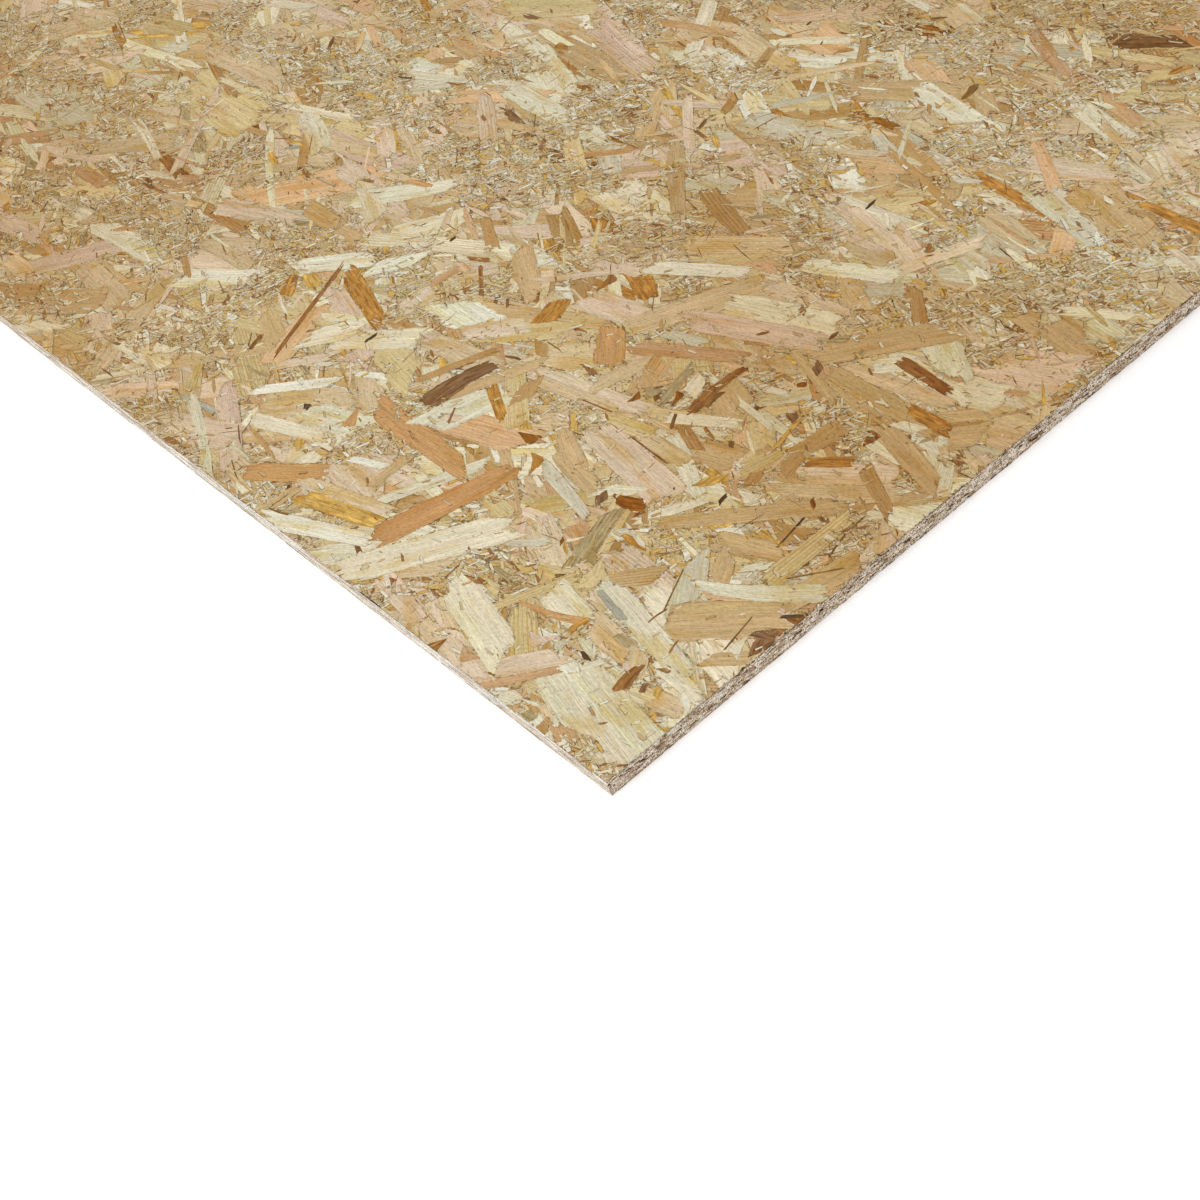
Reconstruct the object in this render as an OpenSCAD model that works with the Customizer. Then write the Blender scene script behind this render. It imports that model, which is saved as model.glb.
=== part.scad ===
// A full sheet of oriented strand board, lying flat.
// The origin is the centre of the underside: +X runs along the sheet, +Z is up.

/* [Sheet] */
// Length of the sheet, the way most of the surface strands lie
board_length = 2500; // [1500:10:3000]
// Width of the sheet, across the surface strands
board_width = 1250; // [300:10:1500]
// Thickness of the pressed sheet
board_thickness = 12; // [6:1:25]

/* [Hidden] */
// Pale straw brown of pressed, unsealed wood strands
board_colour = [0.76, 0.66, 0.50];

// One pressed panel, sawn square and sharp on all four sides
module board() {
    color(board_colour)
        translate([-board_length / 2, -board_width / 2, 0])
            cube([board_length, board_width, board_thickness]);
}

board();
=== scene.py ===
import math
import bmesh
import bpy
import numpy as np
from mathutils import Matrix, Vector


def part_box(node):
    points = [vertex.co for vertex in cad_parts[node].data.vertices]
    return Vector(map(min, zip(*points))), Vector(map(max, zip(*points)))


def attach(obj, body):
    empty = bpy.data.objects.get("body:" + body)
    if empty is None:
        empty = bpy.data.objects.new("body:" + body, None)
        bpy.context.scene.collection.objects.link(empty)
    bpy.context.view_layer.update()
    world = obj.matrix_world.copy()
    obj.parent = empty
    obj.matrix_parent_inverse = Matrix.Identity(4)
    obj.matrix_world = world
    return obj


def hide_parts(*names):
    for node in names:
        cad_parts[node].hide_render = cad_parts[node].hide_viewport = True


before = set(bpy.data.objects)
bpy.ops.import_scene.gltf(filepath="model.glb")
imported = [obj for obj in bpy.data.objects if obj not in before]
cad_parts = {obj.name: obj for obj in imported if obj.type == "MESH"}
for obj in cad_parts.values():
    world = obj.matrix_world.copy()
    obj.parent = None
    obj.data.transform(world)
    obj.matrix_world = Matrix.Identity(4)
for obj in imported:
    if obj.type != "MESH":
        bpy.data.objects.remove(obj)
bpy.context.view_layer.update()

boardLow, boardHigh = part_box("board")
boardLength, boardWidth, boardThickness = boardHigh - boardLow
mm = 0.001
print("board", [round(side / mm, 1) for side in (boardLength, boardWidth, boardThickness)], "mm")


# Node helpers: sums on a Wire add Math nodes, and Bench.node adds any other node.

class Wire:
    def __init__(self, bench, socket):
        self.bench = bench
        self.socket = socket

    def of(self, outlet):  # another outlet of the same node
        return Wire(self.bench, self.socket.node.outputs[outlet])

    def __add__(self, other):
        return self.bench.math("ADD", self, other)

    def __sub__(self, other):
        return self.bench.math("SUBTRACT", self, other)

    def __mul__(self, other):
        return self.bench.math("MULTIPLY", self, other)

    def __truediv__(self, other):
        return self.bench.math("DIVIDE", self, other)

    def __pow__(self, other):
        return self.bench.math("POWER", self, other)

    def __rsub__(self, other):
        return self.bench.math("SUBTRACT", other, self)

    def __lt__(self, other):
        return self.bench.math("LESS_THAN", self, other)

    __radd__ = __add__
    __rmul__ = __mul__


class Bench:
    def __init__(self, tree):
        self.tree = tree

    def node(self, kind, settings=None, inputs=None, outlet=0):
        made = self.tree.nodes.new(kind)
        for name, value in (settings or {}).items():
            if name == "stops":
                setStops(made.color_ramp, value)
            else:
                setattr(made, name, value)
        for name, value in (inputs or {}).items():
            if isinstance(value, Wire):
                self.tree.links.new(value.socket, made.inputs[name])
            else:
                made.inputs[name].default_value = value
        return Wire(self, made.outputs[outlet]) if made.outputs else None

    def math(self, operation, *values):
        return self.node("ShaderNodeMath", {"operation": operation}, dict(enumerate(values)))

    def vector(self, x, y, z=0.0):
        return self.node("ShaderNodeCombineXYZ", None, {0: x, 1: y, 2: z})

    def parts(self, vector):
        split = self.node("ShaderNodeSeparateXYZ", None, {0: vector})
        return split, split.of(1), split.of(2)

    def vectorMath(self, operation, *values):
        return self.node("ShaderNodeVectorMath", {"operation": operation}, dict(enumerate(values)))

    def scaled(self, vector, amount):
        return self.node("ShaderNodeVectorMath", {"operation": "SCALE"}, {0: vector, 3: amount})

    def smooth(self, value, low, high, start=0.0, end=1.0):  # an eased step from start to end
        return self.node("ShaderNodeMapRange", {"interpolation_type": "SMOOTHSTEP"},
                         {0: value, 1: low, 2: high, 3: start, 4: end})

    def noise(self, where, scale, detail):  # about 0.5 on average, over x and y
        return self.node("ShaderNodeTexNoise", {"noise_dimensions": "2D"},
                         {"Vector": where, "Scale": scale, "Detail": detail})

    def attribute(self, name, outlet):  # what the flake trees stored
        return self.node("ShaderNodeAttribute", {"attribute_name": name}, None, outlet)

    def blend(self, amount, first, second, how="MIX"):  # two colours
        return self.node("ShaderNodeMix", {"data_type": "RGBA", "blend_type": how},
                         {0: amount, 6: first, 7: second}, 2)


def setStops(ramp, stops):
    ramp.interpolation = "CONSTANT"
    while len(ramp.elements) > 1:
        ramp.elements.remove(ramp.elements[0])
    ramp.elements[0].position = stops[0][0]
    ramp.elements[0].color = stops[0][1]
    for place, colour in stops[1:]:
        ramp.elements.new(place).color = colour


def linear(red, green, blue):  # a colour as seen on screen, 0 to 255, in scene light
    return tuple(((part / 255 + 0.055) / 1.055) ** 2.4 for part in (red, green, blue)) + (1.0,)


# The tones of the wood, palest first, each with its share of the strands.

woodTones = {
    "white": (0.05, linear(211, 202, 176)),
    "cream": (0.11, linear(207, 193, 160)),
    "greyCream": (0.07, linear(201, 190, 159)),
    "ash": (0.03, linear(187, 175, 146)),
    "pinkCream": (0.11, linear(200, 176, 145)),
    "rose": (0.02, linear(197, 170, 142)),
    "peach": (0.04, linear(198, 161, 117)),
    "straw": (0.12, linear(193, 170, 121)),
    "beige": (0.13, linear(194, 169, 129)),
    "sand": (0.12, linear(184, 154, 108)),
    "tan": (0.07, linear(171, 134, 83)),
    "blush": (0.04, linear(181, 143, 101)),
    "salmon": (0.01, linear(183, 138, 87)),
    "grey": (0.005, linear(160, 152, 130)),
    "khaki": (0.015, linear(160, 140, 99)),
    "golden": (0.015, linear(192, 153, 78)),
    "orange": (0.015, linear(170, 121, 54)),
    "russet": (0.01, linear(143, 98, 50)),
    "umber": (0.004, linear(127, 92, 58)),
    "amber": (0.004, linear(136, 84, 24)),
    "brown": (0.006, linear(126, 90, 44)),
    "dark": (0.006, linear(84, 61, 36)),
}


def toneStops():
    start = 0.0
    stops = []
    for share, colour in woodTones.values():
        stops.append((start, colour))
        start += share
    return stops


def toneAt(name):  # the middle of a tone's stretch of the ramp
    start = 0.0
    for tone, (share, _) in woodTones.items():
        if tone == name:
            return start + share / 2
        start += share
    raise KeyError(name)


# Flakes: one Geometry Nodes tree turns points into ragged, closed flakes of wood.

flakeInputs = {  # with their first values, in metres, radians, shares and whole numbers
    "Flakes": 100, "Seed": 1, "Bed Length": 2.5, "Bed Width": 1.25, "Heaped": 0.0,
    "Shortest": 0.05, "Longest": 0.1, "Narrowest": 0.01, "Widest": 0.02, "Stray": 0.5,
    "Top": 0.012, "Shallowest": 0.0, "Deepest": 0.0005, "Taper": 0.2, "Thickness": 0.0007,
    "First Tone": 0.0, "Last Tone": 1.0, "Corners": 10, "Fullness": 1.4, "Ragged": 0.15,
    "Bend": 0.03, "Wood": None,
}
socketKinds = {int: "NodeSocketInt", float: "NodeSocketFloat", type(None): "NodeSocketMaterial"}
heapScale = 15.0  # chaff gathers in heaps, about this many to the metre
heapEdge = 0.52  # how high their noise stands where a heap begins
slimness = 1.6  # above 1, narrow flakes are commoner than wide ones


def openTree(name, wanted):
    tree = bpy.data.node_groups.new(name, "GeometryNodeTree")
    tree.interface.new_socket("Geometry", in_out="INPUT", socket_type="NodeSocketGeometry")
    for label, value in wanted.items():
        socket = tree.interface.new_socket(label, in_out="INPUT", socket_type=socketKinds[type(value)])
        if value is not None:
            socket.default_value = value
    tree.interface.new_socket("Geometry", in_out="OUTPUT", socket_type="NodeSocketGeometry")
    bench = Bench(tree)
    return bench, bench.node("NodeGroupInput")


def stored(bench, geometry, name, value, kind="FLOAT"):
    return bench.node("GeometryNodeStoreNamedAttribute", {"data_type": kind, "domain": "POINT"},
                      {"Geometry": geometry, "Name": name, "Value": value})


def named(bench, name, kind="FLOAT"):
    return bench.node("GeometryNodeInputNamedAttribute", {"data_type": kind}, {"Name": name})


def chance(bench, seed, low=0.0, high=1.0, who=None):
    # A random number for each point, or each who. One number is added to the seed for each kind of draw.
    inputs = {2: low, 3: high, 8: seed}
    if who is not None:
        inputs[7] = who
    return bench.node("FunctionNodeRandomValue", {"data_type": "FLOAT"}, inputs, 1)


def scatterPoints(bench, given):
    # Random points over the bed, each with the size, turn, look and form of its flake
    seed = given.of("Seed") * 100
    longest = given.of("Longest")
    bedWidth = given.of("Bed Width")
    halfLength = (given.of("Bed Length") + longest) * 0.5
    halfWidth = (bedWidth + bench.math("MINIMUM", longest, bedWidth)) * 0.5
    depth = chance(bench, seed + 1, given.of("Shallowest"), given.of("Deepest"))
    place = bench.vector(chance(bench, seed + 2, -1.0) * halfLength,
                         chance(bench, seed + 3, -1.0) * halfWidth,
                         given.of("Top") - depth)
    points = bench.node("GeometryNodePoints", None, {"Count": given.of("Flakes"), "Position": place})
    spot = bench.node("GeometryNodeInputPosition")
    heaps = bench.noise(spot, heapScale, 1.0)
    bare = heaps * given.of("Heaped") < heapEdge * given.of("Heaped")
    points = bench.node("GeometryNodeDeleteGeometry", {"domain": "POINT"}, {0: points, 1: bare})
    length = given.of("Shortest") + chance(bench, seed + 4) * (longest - given.of("Shortest"))
    slim = chance(bench, seed + 5) ** slimness
    width = given.of("Narrowest") + slim * (given.of("Widest") - given.of("Narrowest"))
    sway = chance(bench, seed + 6, -1.0) + chance(bench, seed + 7, -1.0) + chance(bench, seed + 8, -1.0)
    tone = chance(bench, seed + 9, given.of("First Tone"), given.of("Last Tone"))
    look = bench.vector(tone, chance(bench, seed + 10), chance(bench, seed + 11))
    form = bench.vector(chance(bench, seed + 12, -1.0), chance(bench, seed + 13, -1.0) * given.of("Taper"),
                        chance(bench, seed + 14, -1.0) * given.of("Bend"))
    size = bench.vector(length, width, given.of("Thickness"))
    points = stored(bench, points, "size", size, "FLOAT_VECTOR")
    points = stored(bench, points, "turn", sway * given.of("Stray"))
    points = stored(bench, points, "sunk", depth)
    points = stored(bench, points, "look", look, "FLOAT_VECTOR")
    return stored(bench, points, "form", form, "FLOAT_VECTOR")


def flakeTree(name, scattered):
    bench, given = openTree(name, flakeInputs)
    points = scatterPoints(bench, given) if scattered else given
    place = bench.node("GeometryNodeInputPosition")
    points = stored(bench, points, "place", place, "FLOAT_VECTOR")
    points = stored(bench, points, "lot", chance(bench, given.of("Seed") * 100 + 20, 0.0, 90.0))

    outline = bench.node("GeometryNodeMeshCone", {"fill_type": "TRIANGLE_FAN"},
                         {"Vertices": given.of("Corners"), "Side Segments": 1, "Fill Segments": 1,
                          "Radius Top": 1.0, "Radius Bottom": 0.0, "Depth": 1.0})
    outline = stored(bench, outline, "ring", place, "FLOAT_VECTOR")
    flakes = bench.node("GeometryNodeInstanceOnPoints", None, {"Points": points, "Instance": outline})
    flakes = bench.node("GeometryNodeRealizeInstances", None, {0: flakes})

    index = bench.node("GeometryNodeInputIndex")
    ringX, ringY, ringZ = bench.parts(named(bench, "ring", "FLOAT_VECTOR"))
    length, width, thickness = bench.parts(named(bench, "size", "FLOAT_VECTOR"))
    slant, taper, bend = bench.parts(named(bench, "form", "FLOAT_VECTOR"))
    seed = given.of("Seed") * 100

    def squared(part):  # fills the ring out towards a rectangle
        full = bench.math("MAXIMUM", part * given.of("Fullness"), -1.0)
        return bench.math("MINIMUM", full, 1.0)

    alongPart = squared(ringX)
    acrossPart = squared(ringY)
    torn = chance(bench, seed + 30, -1.0, 1.0, index) * given.of("Ragged")
    nicked = chance(bench, seed + 31, -1.0, 1.0, index) * given.of("Ragged") * 0.5
    atEnd = bench.math("ABSOLUTE", alongPart) ** 4.0  # 1 at the ends, and soon 0 inside
    along = alongPart * (1 + torn * atEnd) * length * 0.5 + acrossPart * slant * width * 0.5
    across = acrossPart * (1 + nicked) * (1 + taper * alongPart) * width * 0.5
    bowed = across + bend * (alongPart * alongPart) * length
    turn = named(bench, "turn")
    cosine = bench.math("COSINE", turn)
    sine = bench.math("SINE", turn)
    moved = bench.vector(along * cosine - bowed * sine, along * sine + bowed * cosine,
                         (ringZ - 1) * thickness)
    moved = bench.vectorMath("ADD", moved, named(bench, "place", "FLOAT_VECTOR"))

    ring = bench.math("SQRT", ringX * ringX + ringY * ringY)
    flakes = stored(bench, flakes, "grain", bench.vector(along, across, named(bench, "lot")), "FLOAT_VECTOR")
    flakes = stored(bench, flakes, "rim", 1 - ring)
    flakes = bench.node("GeometryNodeSetPosition", None, {"Geometry": flakes, "Position": moved})
    for spent in ("ring", "size", "turn", "form", "place", "lot"):
        flakes = bench.node("GeometryNodeRemoveAttribute", None, {"Geometry": flakes, "Name": spent})
    flakes = bench.node("GeometryNodeSetMaterial", None, {"Geometry": flakes, "Material": given.of("Wood")})
    bench.node("NodeGroupOutput", None, {"Geometry": flakes})
    return bench.tree


def grownMesh(tree, values, source=None):
    # The tree's result as a plain mesh
    holder = bpy.data.objects.new("holder", source or bpy.data.meshes.new("bare"))
    bpy.context.scene.collection.objects.link(holder)
    modifier = holder.modifiers.new("flakes", "NODES")
    modifier.node_group = tree
    for item in tree.interface.items_tree:
        if item.in_out == "INPUT" and item.name in values:
            modifier[item.identifier] = values[item.name]
    evaluated = holder.evaluated_get(bpy.context.evaluated_depsgraph_get())
    mesh = bpy.data.meshes.new_from_object(evaluated)
    bpy.data.objects.remove(holder)
    return mesh


def joinMeshes(meshes):
    work = bmesh.new()
    for mesh in meshes:
        work.from_mesh(mesh)
    return work


sawReach = 1e-7  # metres: a corner this near a cut counts as lying on it
undersideInset = 0.3  # millimetres by which the sawn sides cover the underside's cut ends


def woodSlot(axis):  # 0 on the two faces, 1 on the ends and 2 on the long sides
    return (axis + 1) % 3


def trimToBoard(work, margins):
    # Saws everything off inside the board's own sides, by a margin along x, y and perhaps z, and closes each
    # cut in the wood of that side
    for axis, margin in enumerate(margins):
        for side, outward in ((boardLow, -1), (boardHigh, 1)):
            normal = Vector((0, 0, 0))
            normal[axis] = outward
            everything = work.verts[:] + work.edges[:] + work.faces[:]
            cut = bmesh.ops.bisect_plane(work, geom=everything, dist=sawReach, plane_no=normal,
                                         plane_co=side - normal * margin, clear_outer=True)
            rim = [part for part in cut["geom_cut"] if isinstance(part, bmesh.types.BMEdge)]
            for face in bmesh.ops.holes_fill(work, edges=rim, sides=0)["faces"]:
                face.material_index = woodSlot(axis)


def mapFromAbove(mesh):
    # A map of the whole face seen from above: the top flake at a place is the last one drawn there
    corners = np.empty(len(mesh.loops), np.int32)
    mesh.loops.foreach_get("vertex_index", corners)
    places = np.empty(len(mesh.vertices) * 3, np.float32)
    mesh.vertices.foreach_get("co", places)
    flat = places.reshape(-1, 3)[corners]
    uv = np.empty((len(corners), 2), np.float32)
    uv[:, 0] = (flat[:, 0] - boardLow.x) / boardLength
    uv[:, 1] = (flat[:, 1] - boardLow.y) / boardWidth
    mesh.uv_layers.new(name="OFBake").data.foreach_set("uv", uv.ravel())


def finishPiece(name, mesh):
    piece = bpy.data.objects.new(name, mesh)
    bpy.context.scene.collection.objects.link(piece)
    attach(piece, "root")
    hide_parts("board")
    triangles = sum(len(face.vertices) - 2 for face in mesh.polygons)
    print(name, len(mesh.polygons), "faces", triangles, "triangles")


def facePiece(name, layers, below=False):
    # The flakes of one face of the board, made for the top and turned over for the underside
    work = joinMeshes(layers)
    for face in work.faces:
        face.material_index = 0
    margin = undersideInset * mm if below else 0.0
    trimToBoard(work, (margin, margin))
    work.faces.sort(key=lambda face: face.calc_center_median().z)
    mesh = bpy.data.meshes.new(name)
    work.to_mesh(mesh)
    work.free()
    for wood in (strandWood, endWood, longSideWood):
        mesh.materials.append(wood)
    mapFromAbove(mesh)
    if below:
        turned = Matrix.Translation((0, 0, boardThickness)) @ Matrix.Rotation(math.pi, 4, "X")
        mesh.transform(turned)
    finishPiece(name, mesh)


# Materials

woodTints = {  # what the colour of the wood is multiplied by: stains and grain, and painted shade and a painted highlight too
    "yellowed": (0.92, 0.81, 0.58, 1),
    "bleached": (1.08, 1.09, 1.12, 1),
    "greenish": (0.99, 1.0, 0.91, 1),
    "pinkish": (1.02, 0.98, 0.98, 1),
    "paleDrift": (1.0, 1.04, 1.1, 1),
    "darkDrift": (0.88, 0.83, 0.75, 1),
    # painted shade towards the strand edges
    "rim": (0.9, 0.86, 0.79, 1),
    # painted shade on the strands that lie deeper
    "sunkShade": (0.9, 0.85, 0.77, 1),
    "bark": (0.6, 0.5, 0.4, 1),
    # a painted highlight on the dark strands
    "glint": (1.35, 1.4, 1.45, 1),
    "growthRing": (0.76, 0.64, 0.42, 1),
    "pore": (0.42, 0.28, 0.16, 1),
    "chipShadow": (0.28, 0.15, 0.03, 1),
    "sawBite": (0.45, 0.34, 0.24, 1),
    # painted shade in the gaps of the sawn sides
    "gapShade": (0.3, 0.21, 0.14, 1),
}


def newMaterial(name):
    material = bpy.data.materials.new(name)
    material.use_nodes = True
    bench = Bench(material.node_tree)
    shader = material.node_tree.nodes["Principled BSDF"]
    return material, bench, shader


def joinTo(bench, wire, socket):
    bench.tree.links.new(wire.socket, socket)


def raiseGrain(bench, shader, height, strength, relief):  # relief in millimetres
    bump = bench.node("ShaderNodeBump", None,
                      {"Strength": strength, "Distance": relief * mm, "Height": height})
    joinTo(bench, bump, shader.inputs["Normal"])


def tinted(bench, colour, amount, tint):  # the colour times a tint, as far as amount goes
    return bench.blend(amount, colour, woodTints[tint], "MULTIPLY")


# Chips: chaff too small for flakes of its own, strewn over a face as colour and relief.

chipLayers = (  # turn in degrees, then the length and width of the bed of one chip in millimetres
    (14, 34, 8), (-32, 24, 5.5), (35, 17, 4), (-9, 13, 2.6), (68, 9, 2.4),
)
chipTones = ("cream", "straw", "cream", "beige", "pinkCream", "sand", "straw", "white",
             "straw", "golden", "beige", "tan", "cream", "sand", "straw", "russet")
chipShape = {  # lengths and widths are halves, in shares of the bed
    "narrowest": 0.14,
    "widthSpread": 0.3,
    "shortest": 0.25,
    "lengthSpread": 0.6,
    "ragged": 0.9,
    "shadowReach": 1.4,  # times the chip's own size
    "shadow": 0.68,
    "darkest": 0.66,  # the shade of a chip, before its grit and its size brighten it
    "gritShade": 0.5,
    "sizeShade": 0.2,
    "lone": 0.03,  # the share of the small beds that hold a chip where nothing is strewn
    "loneLongest": 15,  # millimetres, for a bed to count as small
}


def chipStops():
    return [(number / len(chipTones), woodTones[tone][1]) for number, tone in enumerate(chipTones)]


def strewChips(bench, spot, cover, colour, height, grit):
    # Chips of every tone strewn over the colour, as thickly as cover says, each over a soft shadow. Small
    # ones lie singly everywhere.
    shape = chipShape
    x, y, _ = bench.parts(spot)
    for number, (turn, long, wide) in enumerate(chipLayers):
        cosine = math.cos(math.radians(turn))
        sine = math.sin(math.radians(turn))
        apart = number * 17  # so that no two layers have the same pattern
        where = bench.vector((x * cosine + y * sine) / (long * mm) + apart,
                             (y * cosine - x * sine) / (wide * mm))
        cells = bench.node("ShaderNodeTexVoronoi", {"voronoi_dimensions": "2D"},
                           {"Vector": where, "Scale": 1.0})
        pick, size, chosen = bench.parts(cells.of("Color"))
        along, across, _ = bench.parts(bench.vectorMath("SUBTRACT", where, cells.of("Position")))
        lean = (pick - 0.5) * (long / wide)
        across = bench.math("ABSOLUTE", across + along * lean)
        across = across / (shape["narrowest"] + size * shape["widthSpread"])
        along = bench.math("ABSOLUTE", along) / (shape["shortest"] + chosen * shape["lengthSpread"])
        away = bench.math("MAXIMUM", along, across) + (grit - 0.5) * shape["ragged"]
        isSmall = long < shape["loneLongest"]
        there = chosen < (bench.math("MAXIMUM", cover, shape["lone"]) if isSmall else cover)
        shade = there * bench.smooth(away, 1.0, shape["shadowReach"], shape["shadow"], 0.0)
        shown = there * (away < 1.0)
        chip = bench.node("ShaderNodeValToRGB", {"stops": chipStops()}, {0: pick})
        chip = bench.scaled(chip, shape["darkest"] + grit * shape["gritShade"] + size * shape["sizeShade"])
        colour = bench.blend(shown, tinted(bench, colour, shade, "chipShadow"), chip)
        height = height * (1 - shown) + shown * (0.5 + size + grit * 0.5) - shade
    return colour, height


# The wood of the strands. Its grain runs along each strand's own length.

grainPatterns = {  # how fine each is along and across the grain, to the metre, its detail and its shift
    "fibres": (80, 1500, 2.0, 0.0),
    "streaks": (16, 330, 3.0, 7.0),
    "patches": (18, 70, 3.0, 23.0),
    "ringSway": (9, 30, 1.0, 31.0),
    "tears": (24, 600, 2.0, 41.0),
    "pores": (190, 1500, 1.0, 57.0),
    "hues": (9, 60, 2.0, 61.0),
    "bark": (70, 420, 2.0, 83.0),
    "glints": (60, 300, 2.0, 97.0),
}
strandFinish = {
    "ownShade": 0.2,  # how far one strand's shade is from the next
    "fibres": 0.5,
    "streaks": 0.44,
    "mottle": 0.35,
    "darkest": 0.315,  # the shade where all of these are nil
    "tornCover": 0.33,  # how thickly chips lie on torn edges
    "heapCover": 0.75,  # and in the heaps of chaff
    "sunkHeap": 450,  # how much a strand's depth, in metres, adds to the heaps on it
    "rings": 2500,  # radians of growth ring to the metre across the grain
    "ringSway": 14.0,  # and how many radians they wander
    "roughness": 0.62,
    "roughnessSpread": 0.2,
    "gloss": 0.14,
    "bump": 1.0,
    "relief": 0.75,  # millimetres
    "driftScale": (1.3, 2.6, 0),  # the broad stretches, to the metre each way
    "driftStart": (16.7, 33.0, 0),  # another start moves them
}


def strandMaterial():
    finish = strandFinish
    material, bench, shader = newMaterial("pressed_strands")
    along, across, lot = bench.parts(bench.attribute("grain", "Vector"))
    tone, shade, ringed = bench.parts(bench.attribute("look", "Vector"))
    rim = bench.attribute("rim", "Fac")
    sunk = bench.attribute("sunk", "Fac")
    spot = bench.node("ShaderNodeTexCoord", None, None, "Object")

    def noise(pattern):
        alongRate, acrossRate, detail, shift = grainPatterns[pattern]
        where = bench.vector(along * alongRate + lot * 3, across * acrossRate + lot * 5 + shift)
        return bench.noise(where, 1.0, detail)

    fibres = noise("fibres")
    streaks = noise("streaks")
    mottle = bench.noise(spot, 420.0, 2.0)
    colour = bench.node("ShaderNodeValToRGB", {"stops": toneStops()}, {0: tone})

    # Patches of yellow, pale, greenish and pinkish wood lie along a strand
    patches = noise("patches")
    hues = noise("hues")
    colour = tinted(bench, colour, bench.smooth(patches, 0.51, 0.69), "yellowed")
    colour = tinted(bench, colour, bench.smooth(patches, 0.48, 0.3), "bleached")
    colour = tinted(bench, colour, bench.smooth(hues, 0.52, 0.68), "greenish")
    colour = tinted(bench, colour, bench.smooth(hues, 0.48, 0.32), "pinkish")
    bright = (shade * finish["ownShade"] + fibres * finish["fibres"] + streaks * finish["streaks"]
              + mottle * finish["mottle"] + finish["darkest"])
    colour = bench.scaled(colour, bright)

    # Painted shade darkens most strands a little towards their edges
    colour = tinted(bench, colour, bench.smooth(rim - streaks * 0.12, 0.06, -0.06), "rim")

    # The darker the strand, the more it is streaked with bark and resin, and with painted glints of light
    darkWood = bench.smooth(tone, 0.9, 0.96)
    bark = darkWood * bench.smooth(noise("bark"), 0.47, 0.62, 0.0, 0.75)
    glints = darkWood * bench.smooth(noise("glints"), 0.55, 0.66)
    colour = tinted(bench, tinted(bench, colour, bark, "bark"), glints, "glint")

    # Growth rings show as amber lines on some strands
    sway = noise("ringSway") * finish["ringSway"]
    lines = bench.math("SINE", across * finish["rings"] + sway) * 0.5 + 0.5
    ringLines = (lines ** 3.0) * bench.smooth(ringed, 0.8, 1.0) * bench.smooth(streaks, 0.3, 0.55, 0.3)
    colour = tinted(bench, colour, ringLines, "growthRing")

    # Pores and resin canals are short dark dashes
    pores = bench.smooth(noise("pores"), 0.73, 0.79, 0.0, 0.5)
    colour = tinted(bench, colour, pores, "pore")
    height = fibres * 0.4 + streaks * 0.5 + mottle * 0.55 - pores * 0.5

    # Chaff lies over the torn ends and edges, and more thickly the deeper the strand is sunk
    torn = bench.smooth(rim - noise("tears") * 0.26, -0.04, -0.1, 0.0, 1.0)
    heaps = bench.noise(spot, heapScale, 1.0)
    heaped = bench.smooth(heaps + sunk * finish["sunkHeap"], heapEdge, 0.82)
    cover = bench.math("MAXIMUM", torn * finish["tornCover"], heaped * finish["heapCover"])
    # Painted shade darkens the strands that lie deeper
    colour = tinted(bench, colour, bench.smooth(sunk, 0.2 * mm, 0.5 * mm), "sunkShade")
    colour, height = strewChips(bench, spot, cover, colour, height, mottle)

    # The board is paler in some broad stretches and darker in others
    where = bench.vectorMath("MULTIPLY_ADD", spot, finish["driftScale"], finish["driftStart"])
    drift = bench.smooth(bench.noise(where, 1.0, 1.0), 0.38, 0.62)
    drift = bench.blend(drift, woodTints["paleDrift"], woodTints["darkDrift"])
    colour = bench.blend(1.0, colour, drift, "MULTIPLY")

    # The saw bit small pieces out along the edges
    x, y, _ = bench.parts(spot)
    fromEdge = bench.math("MINIMUM", 0.5 * boardLength - bench.math("ABSOLUTE", x),
                          0.5 * boardWidth - bench.math("ABSOLUTE", y))
    bites = bench.smooth(fromEdge + mottle * 3.5 * mm, 2.1 * mm, 1.6 * mm, 0.0, 0.75)
    joinTo(bench, tinted(bench, colour, bites, "sawBite"), shader.inputs["Base Color"])
    joinTo(bench, streaks * finish["roughnessSpread"] + finish["roughness"], shader.inputs["Roughness"])
    raiseGrain(bench, shader, height - bites, finish["bump"], finish["relief"])
    shader.inputs["Specular IOR Level"].default_value = finish["gloss"]
    return material


# The wood of the sawn sides: contrast is how strongly the pores show, voids how much painted shade darkens
# the gaps.

sawnGrain = {
    "pores": (900, 2200, 0),  # to the metre along a side, and up it
    "gaps": (860, 1500, 0),
    "ownShade": 0.15,
    "roughness": 0.7,
    "roughnessSpread": 0.2,
    "gloss": 0.2,
    "bump": 0.6,
    "relief": 0.4,  # millimetres
}
sawnFinishes = {
    "sawn_long_sides": {
        "contrast": 1.0,
        "voids": 0.3,
        "tones": ((0.0, linear(216, 212, 203)), (0.3, linear(209, 201, 189)), (0.55, linear(201, 190, 175)),
                  (0.78, linear(194, 177, 157)), (0.95, linear(168, 144, 118))),
    },
    "sawn_ends": {
        "contrast": 1.4,
        "voids": 1.0,
        "tones": ((0.0, linear(240, 229, 212)), (0.2, linear(222, 205, 182)), (0.36, linear(212, 186, 158)),
                  (0.5, linear(196, 176, 146)), (0.68, linear(180, 148, 114)), (0.84, linear(138, 110, 80)),
                  (0.94, linear(78, 60, 44))),
    },
}


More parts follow.
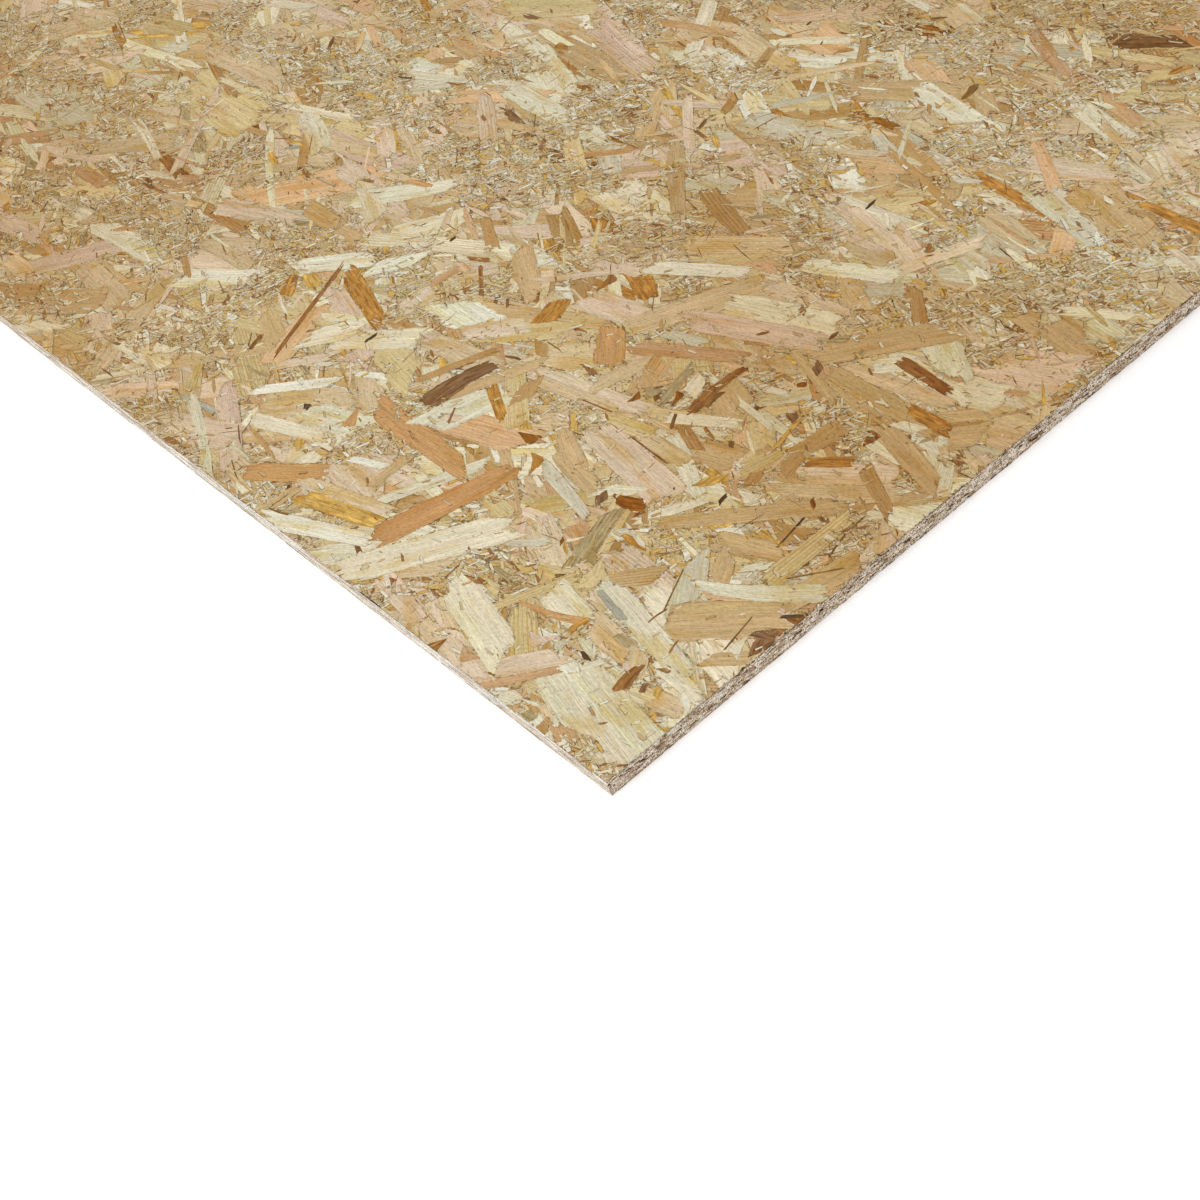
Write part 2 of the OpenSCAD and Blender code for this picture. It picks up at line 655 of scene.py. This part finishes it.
def sawnMaterial(name):
    finish = sawnFinishes[name]
    contrast = finish["contrast"]
    grain = sawnGrain
    material, bench, shader = newMaterial(name)
    tone, shade, _ = bench.parts(bench.attribute("look", "Vector"))
    x, y, z = bench.parts(bench.node("ShaderNodeTexCoord", None, None, "Object"))
    where = bench.vector(x + y, z)  # one of the two is constant on each side
    pores = bench.noise(bench.vectorMath("MULTIPLY", where, grain["pores"]), 1.0, 2.0)
    gaps = bench.noise(bench.vectorMath("MULTIPLY", where, grain["gaps"]), 1.0, 2.0)
    voids = bench.smooth(gaps, 0.56, 0.62, 0.0, finish["voids"])
    colour = bench.node("ShaderNodeValToRGB", {"stops": finish["tones"]}, {0: tone})
    colour = bench.scaled(colour, 0.9 - contrast / 2 + shade * grain["ownShade"] + pores * contrast)
    # the gaps are darkened with painted shade
    joinTo(bench, tinted(bench, colour, voids, "gapShade"), shader.inputs["Base Color"])
    joinTo(bench, pores * grain["roughnessSpread"] + grain["roughness"], shader.inputs["Roughness"])
    raiseGrain(bench, shader, pores - voids, grain["bump"], grain["relief"])
    shader.inputs["Specular IOR Level"].default_value = grain["gloss"]
    return material


bedFinish = {  # what shows between the strands; its dark brown is partly the wood's own colour and partly painted shade of the deep gaps
    "darkest": linear(104, 78, 56),
    "palest": linear(184, 152, 112),
    "cover": 0.9,
    "roughness": 0.85,
    "bump": 0.6,
    "relief": 0.3,  # millimetres
}


def bedMaterial():
    material, bench, shader = newMaterial("bed_of_chaff")
    spot = bench.node("ShaderNodeTexCoord", None, None, "Object")
    grit = bench.node("ShaderNodeTexNoise", None, {"Vector": spot, "Scale": 900.0, "Detail": 3.0})
    colour = bench.blend(grit, bedFinish["darkest"], bedFinish["palest"])
    colour, height = strewChips(bench, spot, bedFinish["cover"], colour, grit, grit)
    joinTo(bench, colour, shader.inputs["Base Color"])
    shader.inputs["Roughness"].default_value = bedFinish["roughness"]
    raiseGrain(bench, shader, height, bedFinish["bump"], bedFinish["relief"])
    return material


strandWood = strandMaterial()
longSideWood = sawnMaterial("sawn_long_sides")
endWood = sawnMaterial("sawn_ends")
bedWood = bedMaterial()
scatteredFlakes = flakeTree("scattered_flakes", True)
placedFlakes = flakeTree("placed_flakes", False)
print("materials and flake trees made")

# The faces, from the widest strands to the crumbs. Sizes are in millimetres, strays in degrees, and depths
# are measured down from the face. Heaped flakes lie only where the chaff gathers.

faceLayers = {
    "wideOnTop": dict(flakes=1150, short=60, long=120, narrow=15, wide=34, stray=24, depths=(0.12, 0.25),
                      tones=(0.0, 0.74), corners=22, full=1.3, ragged=0.12, taper=0.18, bend=0.015),
    "strandsOnTop": dict(flakes=2100, short=35, long=110, narrow=6, wide=18, stray=28, depths=(0.12, 0.25),
                         tones=(0.0, 0.988), corners=15, full=1.4, ragged=0.16, taper=0.25, bend=0.03),
    "wideBelow": dict(flakes=2300, short=70, long=130, narrow=18, wide=36, stray=28, depths=(0.3, 0.55),
                      tones=(0.0, 0.84), corners=12, full=1.35, ragged=0.14, taper=0.18, bend=0.015),
    "strandsBelow": dict(flakes=2300, short=40, long=110, narrow=6, wide=18, stray=30, depths=(0.28, 0.5),
                         tones=(0.0, 1.0), corners=10, full=1.4, ragged=0.18, taper=0.25, bend=0.03),
    "slivers": dict(flakes=9500, short=15, long=55, narrow=1.6, wide=6, stray=34, depths=(0.1, 0.4),
                    tones=(0.0, 0.975), corners=6, full=1.2, ragged=0.2, taper=0.4, bend=0.05),
    "needles": dict(flakes=3600, short=6, long=26, narrow=0.5, wide=1.2, stray=50, depths=(0.02, 0.3),
                    tones=(0.955, 0.995), corners=5, full=1.1, ragged=0.1, taper=0.3, bend=0.06),
    "bark": dict(flakes=900, short=5, long=17, narrow=2, wide=6, stray=60, depths=(0.05, 0.3),
                 tones=(0.94, 1.0), corners=9, full=1.15, ragged=0.35, taper=0.3, bend=0.1),
    "chaff": dict(flakes=29000, short=5, long=24, narrow=1.0, wide=3.6, stray=48, depths=(0.1, 0.4),
                  tones=(0.0, 0.975), corners=5, full=1.2, ragged=0.25, taper=0.4, bend=0.03, heaped=1),
    "wideUnder": dict(flakes=1900, short=60, long=120, narrow=15, wide=34, stray=24, depths=(0.05, 0.4),
                      tones=(0.0, 0.84), corners=10, full=1.3, ragged=0.12, taper=0.18, bend=0.015),
    "strandsUnder": dict(flakes=2400, short=35, long=110, narrow=6, wide=18, stray=28, depths=(0.0, 0.35),
                         tones=(0.0, 1.0), corners=8, full=1.4, ragged=0.16, taper=0.25, bend=0.03),
    "sliversUnder": dict(flakes=4500, short=12, long=45, narrow=1.6, wide=6, stray=40, depths=(0.0, 0.3),
                         tones=(0.0, 1.0), corners=5, full=1.2, ragged=0.2, taper=0.4, bend=0.05),
    "flecks": dict(flakes=7500, short=2, long=6.5, narrow=0.6, wide=1.6, stray=60, depths=(0.0, 0.1),
                   tones=(0.9, 1.0), corners=4, full=1.2, ragged=0.3, taper=0.5, bend=0.1),
    "shreds": dict(flakes=15000, short=5, long=20, narrow=0.35, wide=0.9, stray=45, depths=(0.0, 0.12),
                   tones=(0.0, 0.99), corners=4, full=1.2, ragged=0.2, taper=0.5, bend=0.06, heaped=1),
    "crumbs": dict(flakes=9000, short=2, long=8, narrow=0.8, wide=2.4, stray=60, depths=(0.05, 0.4),
                   tones=(0.0, 1.0), corners=4, full=1.2, ragged=0.3, taper=0.3, bend=0.0),
}
flakeThickness = 0.7  # millimetres


def layFlakes(layer, seed, bed=(boardLength, boardWidth), top=boardThickness, wood=strandWood):
    values = {
        "Flakes": layer["flakes"],
        "Seed": seed,
        "Bed Length": bed[0],
        "Bed Width": bed[1],
        "Heaped": float(layer.get("heaped", 0)),
        "Shortest": layer["short"] * mm,
        "Longest": layer["long"] * mm,
        "Narrowest": layer["narrow"] * mm,
        "Widest": layer["wide"] * mm,
        "Stray": math.radians(layer["stray"]),
        "Top": top,
        "Shallowest": layer["depths"][0] * mm,
        "Deepest": layer["depths"][1] * mm,
        "Thickness": layer.get("thick", flakeThickness) * mm,
        "First Tone": layer["tones"][0],
        "Last Tone": layer["tones"][1],
        "Corners": layer["corners"],
        "Fullness": layer["full"],
        "Ragged": layer["ragged"],
        "Taper": layer["taper"],
        "Bend": layer["bend"],
        "Wood": wood,
    }
    return grownMesh(scatteredFlakes, values)


# The strands that show best round the near corner, the uppermost first: how far the middle of each lies in
# from the end and from the long side, its length and width, all in millimetres, its lean in degrees from
# the board's length towards the far side, its tone, and its form where it isn't plain.

strandForms = {  # bend, growth rings and taper
    "plain": (0.0, 0.0, 0.12),
    "ringed": (0.0, 1.0, 0.12),
    "lined": (0.0, 0.88, 0.12),  # with faint rings
    "bent": (0.05, 0.0, 0.15),
    "wedge": (0.0, 0.0, 0.85),
    "strewn": (0.0, 0.0, 0.1),  # with chaff over it
}

chosenStrands = (
    (35, 57, 7, 4, 60, "umber"),
    (26, 60, 8, 5, 60, "golden"),
    (78, 117, 34, 1, 62, "brown"),
    (71, 98, 14, 1.2, 95, "brown", "bent"),
    (22, 117, 28, 1.2, 78, "brown"),
    (20, 175, 32, 1.2, -50, "brown"),
    (28, 206, 34, 1.2, 80, "brown", "bent"),
    (180, 186, 36, 1.2, 4, "brown"),
    (241, 193, 28, 1.2, -8, "brown"),
    (187, 212, 14, 2.5, 55, "brown"),
    (62, 213, 8, 3, 30, "amber"),
    (48, 207, 5, 3, 20, "brown"),
    (202, 46, 13, 1.5, 82, "brown"),
    (228, 18, 6, 4, 10, "russet", "wedge"),
    (110, 184, 8, 3, 80, "dark", "bent"),
    (128, 190, 13, 9, 100, "golden"),
    (52, 158, 18, 6, -45, "greyCream"),
    (253, 80, 99, 20, 107, "salmon", "lined"),
    (155, 148, 22, 10, -18, "amber", "bent"),
    (9, 124, 13, 4, -20, "umber"),
    (7, 118, 16, 6, 60, "umber", "bent"),
    (6, 126, 14, 12, 100, "umber", "wedge"),
    (7, 144, 12, 2.5, -40, "dark"),
    (15, 134, 24, 12, -35, "sand"),
    (14, 111, 14, 6, 80, "cream", "wedge"),
    (337, 155, 52, 16, 100, "umber", "bent"),
    (351, 166, 53, 7, 114, "tan"),
    (317, 173, 62, 10, 117, "sand"),
    (300, 158, 38, 8, 25, "orange"),
    (256, 149, 16, 6, -5, "amber", "wedge"),
    (265, 155, 8, 6, 40, "golden", "wedge"),
    (291, 176, 20, 14, 62, "tan"),
    (314, 207, 15, 9, 40, "tan"),
    (314, 139, 50, 28, 108, "greyCream"),
    (292, 168, 58, 16, 36, "straw", "lined"),
    (283, 137, 66, 24, -16, "peach", "lined"),
    (318, 107, 102, 18, 1, "salmon"),
    (327, 72, 30, 6, -19, "white"),
    (372, 92, 18, 6, 60, "salmon", "wedge"),
    (308, 76, 34, 8, 88, "sand"),
    (307, 35, 68, 13, -14, "golden"),
    (341, 9, 18, 1.5, -15, "brown", "bent"),
    (335, 13, 8, 3, -20, "khaki", "bent"),
    (313, 45, 84, 10, -14, "pinkCream"),
    (307, 15, 78, 14, -22, "white"),
    (277, 84, 80, 10, -63, "greyCream"),
    (231, 48, 110, 26, -57, "cream"),
    (179, 64, 42, 4, 2, "khaki", "ringed"),
    (185, 51, 14, 5, 0, "russet"),
    (170, 53, 12, 7, 0, "straw"),
    (140, 10, 11, 7, 20, "blush", "wedge"),
    (161, 4, 12, 6, 100, "russet", "wedge"),
    (158, 32, 82, 25, 15, "cream"),
    (143, 6, 46, 13, 12, "pinkCream"),
    (112, 20, 66, 16, -52, "pinkCream"),
    (102, 20, 50, 13, -52, "blush"),
    (85, 41, 15, 11, 20, "white"),
    (79, 40, 42, 4, -55, "greyCream", "bent"),
    (38, 4, 30, 13, 24, "blush"),
    (59, 4, 9, 10, 10, "tan"),
    (48, 57, 20, 9, 75, "russet", "bent"),
    (42, 30, 100, 42, 13, "greyCream", "lined"),
    (51, 5, 26, 12, 35, "greyCream", "wedge"),
    (73, 3, 9, 6, 0, "khaki"),
    (72, 74, 14, 7, 0, "khaki"),
    (80, 70, 36, 18, 5, "beige"),
    (53, 68, 18, 12, 50, "beige"),
    (45, 88, 10, 1.5, 70, "brown", "bent"),
    (99, 87, 32, 5, 12, "grey", "lined"),
    (72, 88, 90, 16, 12, "greyCream"),
    (8, 65, 13, 5, 20, "white"),
    (34, 52, 20, 9, -10, "greyCream"),
    (18, 57, 30, 14, -10, "beige"),
    (23, 73, 42, 11, 5, "cream"),
    (12, 101, 28, 10, -40, "sand"),
    (35, 145, 80, 12, -32, "greyCream", "bent"),
    (38, 117, 62, 30, -40, "sand"),
    (103, 65, 13, 6, 100, "orange", "bent"),
    (122, 61, 50, 5, -18, "salmon", "bent"),
    (114, 45, 12, 9, 0, "rose", "wedge"),
    (120, 71, 40, 20, 8, "cream"),
    (127, 97, 22, 14, 55, "straw", "wedge"),
    (67, 146, 24, 14, 60, "sand"),
    (75, 127, 38, 20, 50, "ash", "lined"),
    (12, 173, 50, 18, 100, "sand"),
    (37, 187, 68, 14, 90, "straw", "ringed"),
    (89, 183, 113, 13, -43, "sand", "lined"),
    (38, 227, 18, 8, -35, "tan", "wedge"),
    (38, 242, 46, 9, 25, "tan"),
    (58, 227, 76, 13, -31, "beige", "lined"),
    (148, 111, 24, 12, 60, "khaki", "wedge"),
    (150, 117, 48, 14, 70, "khaki", "ringed"),
    (110, 105, 46, 14, -45, "sand", "ringed"),
    (145, 68, 52, 8, -65, "straw", "ringed"),
    (173, 141, 9, 8, 40, "umber"),
    (168, 152, 26, 9, -30, "cream"),
    (147, 149, 13, 3, 55, "amber", "bent"),
    (182, 173, 86, 25, 8, "pinkCream"),
    (172, 192, 40, 12, 0, "beige"),
    (197, 132, 62, 9, 12, "ash"),
    (146, 126, 24, 4, 5, "greyCream"),
    (187, 246, 48, 8, 88, "russet", "bent"),
    (181, 240, 16, 5, 88, "brown", "bent"),
    (211, 236, 34, 7, 76, "khaki"),
    (202, 228, 8, 6, 30, "amber", "wedge"),
    (200, 242, 18, 12, 70, "white"),
    (172, 223, 50, 10, -28, "cream"),
    (260, 192, 70, 10, -10, "beige"),
    (250, 220, 40, 14, 110, "beige"),
    (225, 213, 8, 5, 60, "amber", "wedge"),
    (220, 222, 10, 8, 10, "khaki", "wedge"),
    (229, 231, 18, 15, 20, "sand", "wedge"),
    (170, 240, 24, 18, 20, "sand"),
    (167, 208, 26, 8, 20, "tan", "ringed"),
    (150, 190, 62, 12, 25, "greyCream"),
    (208, 193, 40, 12, -10, "straw"),
    (224, 158, 44, 13, 25, "sand"),
    (234, 137, 12, 8, 20, "orange", "wedge"),
    (228, 260, 80, 12, -26, "blush"),
    (277, 236, 38, 20, 45, "salmon"),
    (146, 296, 9, 7, 20, "umber"),
    (158, 320, 22, 5, -34, "khaki", "wedge"),
    (207, 298, 103, 19, -20, "rose"),
    (203, 318, 86, 24, -16, "cream"),
    (143, 290, 58, 7, 18, "sand"),
    (165, 248, 76, 5, 8, "greyCream"),
    (240, 268, 32, 9, -15, "ash"),
    (257, 293, 93, 24, -60, "beige", "lined"),
    (178, 221, 64, 10, -24, "straw"),
    (253, 200, 97, 14, -11, "pinkCream"),
    (130, 333, 87, 22, -50, "sand"),
    (195, 373, 68, 15, -22, "white"),
    (285, 318, 72, 13, -28, "white"),
    (345, 275, 79, 6, -42, "pinkCream"),
    (390, 200, 38, 28, 0, "white"),
    (338, 236, 23, 17, 70, "orange", "lined"),
    (358, 203, 46, 18, -40, "pinkCream"),
    (337, 213, 62, 19, -37, "straw"),
    (330, 278, 12, 8, 45, "russet", "wedge"),
    (300, 262, 60, 22, -10, "pinkCream"),
    (85, 328, 48, 9, 5, "russet"),
    (119, 246, 30, 3.5, 78, "golden"),
    (62, 291, 17, 8, -10, "greyCream"),
    (56, 302, 36, 10, 0, "orange", "lined"),
    (108, 325, 26, 14, -40, "white"),
    (135, 372, 36, 9, 40, "tan"),
    (93, 298, 93, 15, 0, "sand", "lined"),
    (93, 313, 82, 12, -8, "beige"),
    (102, 291, 62, 13, 8, "sand"),
    (75, 272, 11, 8, 30, "russet", "wedge"),
    (74, 294, 14, 7, 60, "russet", "wedge"),
    (57, 277, 97, 15, 16, "sand"),
    (79, 243, 30, 9, -35, "orange"),
    (97, 229, 18, 11, 80, "tan"),
    (97, 258, 44, 16, 100, "tan"),
    (167, 245, 32, 24, 60, "sand"),
    (160, 247, 36, 5, 12, "sand"),
    (56, 191, 30, 1.5, 80, "dark"),
    (58, 190, 27, 13, 0, "tan", "wedge"),
    (66, 168, 40, 14, -20, "sand"),
    (52, 150, 14, 5, -45, "ash"),
    (55, 143, 12, 6, 20, "white", "wedge"),
    (107, 207, 14, 9, 70, "tan"),
    (109, 194, 10, 9, 60, "blush", "wedge"),
    (85, 168, 16, 8, -35, "white"),
    (81, 176, 10, 6, -30, "ash"),
    (113, 219, 28, 10, 108, "straw", "ringed"),
    (9, 214, 22, 14, 50, "pinkCream", "wedge"),
    (12, 240, 34, 18, -15, "white", "wedge"),
    (210, 13, 52, 14, 10, "pinkCream"),
    (173, 8, 60, 12, 12, "beige"),
    (220, 36, 34, 14, -45, "beige"),
    (207, 148, 50, 14, 10, "sand"),
    (141, 219, 6, 4, 45, "brown"),
    (141, 208, 30, 22, -15, "sand"),
    (222, 98, 34, 12, 8, "straw"),
    (165, 103, 5, 3, 70, "amber"),
    (183, 88, 32, 6, -38, "ash", "bent"),
    (368, 33, 60, 17, -33, "salmon"),
    (433, 87, 62, 10, -42, "white"),
    (467, 170, 71, 14, 16, "orange"),
    (492, 140, 98, 4, 66, "russet"),
    (497, 97, 16, 4, 70, "brown"),
    (517, 182, 56, 18, -41, "white"),
    (477, 205, 40, 15, -50, "white"),
    (500, 112, 40, 16, 20, "sand"),
    (527, 147, 22, 10, 50, "orange"),
    (517, 160, 20, 10, 20, "golden"),
    (465, 147, 28, 8, -30, "white"),
    (455, 135, 42, 20, -50, "cream"),
    (427, 242, 18, 4, -25, "russet"),
    (372, 224, 10, 2, 40, "brown"),
    (427, 147, 10, 3, 95, "dark"),
    (396, 124, 26, 6, -25, "white"),
    (434, 217, 22, 8, 100, "blush"),
    (430, 190, 26, 17, 100, "pinkCream"),
    (470, 79, 20, 3, -10, "khaki", "bent"),
    (450, 105, 46, 9, -48, "pinkCream"),
    (455, 149, 50, 10, -35, "straw"),
    (400, 60, 68, 12, -18, "cream"),
    (420, 150, 62, 20, -35, "cream"),
    (392, 142, 54, 26, 10, "straw"),
    (385, 78, 52, 28, -20, "greyCream"),
    (412, 82, 64, 28, -40, "beige"),
    (478, 118, 60, 22, 68, "peach"),
    (412, 168, 22, 12, 0, "blush"),
    (385, 252, 56, 17, 28, "sand"),
    (407, 228, 34, 3, 37, "russet"),
    (385, 58, 18, 6, 40, "golden"),
    (30, 4, 44, 20, 12, "pinkCream"),
    (88, 348, 40, 24, 30, "greyCream"),
    (60, 268, 32, 8, 0, "cream"),
    (60, 240, 60, 24, -30, "pinkCream"),
    (200, 338, 70, 12, -5, "pinkCream"),
    (350, 14, 34, 9, 95, "sand"),
    (275, 12, 50, 18, -40, "greyCream"),
    (371, 68, 54, 26, 85, "cream"),
    (335, 70, 62, 48, 5, "pinkCream", "strewn"),
)
chosenShape = {
    "step": 0.00055,  # millimetres from each strand down to the next
    "slant": 1.1,  # the most that an end is cut askew
    "slantBeat": 2.4,  # the slant and the taper change from strand to strand in these steps
    "taperBeat": 1.7,
    "shade": 0.5,  # 0 is the darkest that a tone comes and 1 the palest
    "bare": -0.2,  # millimetres: a depth below nothing keeps the chaff off a strand
    "strewn": 0.3,  # and this one lets it lie thickly
    "seed": 7,
    "corners": 26,
    "full": 1.32,
    "ragged": 0.1,
}


def layChosen():
    shape = chosenShape
    step = shape["step"] * mm
    points = bpy.data.meshes.new("chosen_strands")
    points.from_pydata([(boardHigh.x - fromEnd * mm, boardLow.y + fromSide * mm, boardHigh.z - number * step)
                        for number, (fromEnd, fromSide, *_) in enumerate(chosenStrands)], [], [])
    kinds = {"size": [], "look": [], "form": [], "turn": [], "sunk": []}
    for number, (_, _, length, width, lean, tone, *unusual) in enumerate(chosenStrands):
        form = unusual[0] if unusual else "plain"
        bend, rings, taper = strandForms[form]
        if form == "plain":
            taper *= math.sin(number * shape["taperBeat"])
        slant = shape["slant"] * math.sin(number * shape["slantBeat"])
        kinds["size"].append((length * mm, width * mm, flakeThickness * mm))
        kinds["look"].append((toneAt(tone), shape["shade"], rings))
        kinds["form"].append((slant, taper, bend))
        kinds["turn"].append(-math.radians(lean))
        kinds["sunk"].append(shape["strewn" if form == "strewn" else "bare"] * mm)
    for name, values in kinds.items():
        vector = name in ("size", "look", "form")
        attribute = points.attributes.new(name, "FLOAT_VECTOR" if vector else "FLOAT", "POINT")
        for place, value in enumerate(values):
            setattr(attribute.data[place], "vector" if vector else "value", value)
    values = {"Seed": shape["seed"], "Corners": shape["corners"], "Fullness": shape["full"],
              "Ragged": shape["ragged"], "Wood": strandWood}
    return grownMesh(placedFlakes, values, points)


faceSeeds = {"top": 10, "under": 50}  # another number strews that face anew


def buildFace(name, groups, below=False):
    seed = faceSeeds[name]
    for piece, layers in groups.items():
        seed += len(layers)
        laid = [layFlakes(faceLayers[layer], seed + number) for number, layer in enumerate(layers)]
        if piece == "strands" and not below:
            laid.append(layChosen())
        facePiece(name + "_" + piece, laid, below)


buildFace("top", {"strands": ("wideOnTop", "strandsOnTop"),
                  "bed": ("wideBelow", "strandsBelow"),
                  "slivers": ("slivers", "needles", "bark"),
                  "chaff": ("chaff",),
                  "crumbs": ("crumbs", "flecks"),
                  "shreds": ("shreds",)})
buildFace("under", {"strands": ("wideUnder", "strandsUnder"),
                    "slivers": ("sliversUnder",)}, below=True)

# The sawn sides: the strands that the saw cut through, in layers, over a slab that fills the inside

sideLayers = {
    "longSide": dict(flakes=2600, short=5, long=55, narrow=0.4, wide=1.1, stray=0.8, depths=(0.0, 0.3),
                     tones=(0.0, 1.0), corners=6, full=1.25, ragged=0.2, taper=0.3, bend=0.004, thick=1.6),
    "end": dict(flakes=6400, short=1.5, long=7, narrow=0.35, wide=0.95, stray=4, depths=(0.0, 0.4),
                tones=(0.0, 1.0), corners=5, full=1.25, ragged=0.25, taper=0.3, bend=0.01, thick=1.6),
}
coreShape = {
    "inset": 0.6,  # millimetres from the slab inside to the board's own faces
    "sidesInset": 0.1,  # and from the flakes in the sides to the two broad faces
    "seed": 90,
}


def buildCore():
    middle = Matrix.Translation((0, 0, boardThickness / 2))
    work = bmesh.new()
    sizes = [side - 2 * coreShape["inset"] * mm for side in (boardLength, boardWidth, boardThickness)]
    slab = Matrix.Diagonal(sizes + [1])
    bmesh.ops.create_cube(work, size=1.0, matrix=middle @ slab)
    for face in work.faces:
        face.normal_update()
        face.material_index = woodSlot(max(range(3), key=lambda axis: abs(face.normal[axis])))
    upright = Matrix.Rotation(math.pi / 2, 4, "X")
    for number in range(4):
        isEnd = number % 2
        run, out = (boardWidth, boardLength) if isEnd else (boardLength, boardWidth)
        side = layFlakes(sideLayers["end" if isEnd else "longSide"], coreShape["seed"] + number,
                         (run, boardThickness), 0.0, endWood if isEnd else longSideWood)
        quarter = Matrix.Rotation(number * math.pi / 2, 4, "Z")
        side.transform(middle @ quarter @ Matrix.Translation((0, -out / 2, 0)) @ upright)
        side.polygons.foreach_set("material_index", np.full(len(side.polygons), 2 - isEnd, np.int32))
        work.from_mesh(side)
    trimToBoard(work, (0.0, 0.0, coreShape["sidesInset"] * mm))
    mesh = bpy.data.meshes.new("core_and_sawn_sides")
    work.to_mesh(mesh)
    work.free()
    for wood in (bedWood, endWood, longSideWood):
        mesh.materials.append(wood)
    finishPiece("core_and_sawn_sides", mesh)


buildCore()

# Floor, light and camera

studio = {
    "floorReach": 60,  # metres from its middle to each side
    "floorColour": (0.98, 0.98, 0.98, 1),
    "floorRoughness": 0.9,
    "surround": 0.66,  # the strength of the light from all round
    "keyPlace": (2.2, -6.8, 4.0),
    "keyTarget": (1.0, -0.4, 0),
    "keySize": (4.8, 3.2),  # metres
    "keyPower": 540,  # watts
}


def buildStage():
    floorMesh = bpy.data.meshes.new("floor")
    work = bmesh.new()
    bmesh.ops.create_grid(work, x_segments=1, y_segments=1, size=studio["floorReach"])
    work.to_mesh(floorMesh)
    work.free()
    floor = bpy.data.objects.new("floor", floorMesh)
    bpy.context.scene.collection.objects.link(floor)
    material, _, shader = newMaterial("pale_floor")
    shader.inputs["Base Color"].default_value = studio["floorColour"]
    shader.inputs["Roughness"].default_value = studio["floorRoughness"]
    shader.inputs["Specular IOR Level"].default_value = 0.0
    floorMesh.materials.append(material)


def buildLights():
    world = bpy.data.worlds.new("studio")
    world.use_nodes = True
    background = world.node_tree.nodes["Background"]
    background.inputs["Color"].default_value = (1, 1, 1, 1)
    background.inputs["Strength"].default_value = studio["surround"]
    bpy.context.scene.world = world
    data = bpy.data.lights.new("key", "AREA")
    data.shape = "RECTANGLE"
    data.size, data.size_y = studio["keySize"]
    data.energy = studio["keyPower"]
    light = bpy.data.objects.new("key", data)
    light.location = studio["keyPlace"]
    ray = Vector(studio["keyTarget"]) - Vector(studio["keyPlace"])
    light.rotation_euler = ray.to_track_quat("-Z", "Y").to_euler()
    bpy.context.scene.collection.objects.link(light)
    bpy.context.scene.view_settings.view_transform = "Standard"


cameraSet = {
    "lens": 75,  # millimetres
    "sensor": 36,  # its width in millimetres
    "azimuth": 64.55,  # degrees round from looking along the width
    "elevation": 43.53,  # degrees above the board
    "roll": 20.5,  # degrees, right side down
    "distance": 1.4336,  # metres to the point it looks at
    "fromEnd": 0.108,  # that point, in from the near end
    "fromSide": 0.0857,  # and in from the near long side
}


def buildCamera():
    data = bpy.data.cameras.new("camera")
    data.lens = cameraSet["lens"]
    data.sensor_width = cameraSet["sensor"]
    camera = bpy.data.objects.new("camera", data)
    aim = Vector((boardHigh.x - cameraSet["fromEnd"], boardLow.y + cameraSet["fromSide"], boardHigh.z))
    turn = (Matrix.Rotation(math.radians(cameraSet["azimuth"]), 4, "Z")
            @ Matrix.Rotation(math.radians(90 - cameraSet["elevation"]), 4, "X")
            @ Matrix.Rotation(-math.radians(cameraSet["roll"]), 4, "Z"))
    camera.matrix_world = Matrix.Translation(aim) @ turn @ Matrix.Translation((0, 0, cameraSet["distance"]))
    bpy.context.scene.collection.objects.link(camera)
    bpy.context.scene.camera = camera


buildStage()
buildLights()
buildCamera()
print("stage, lights and camera made")
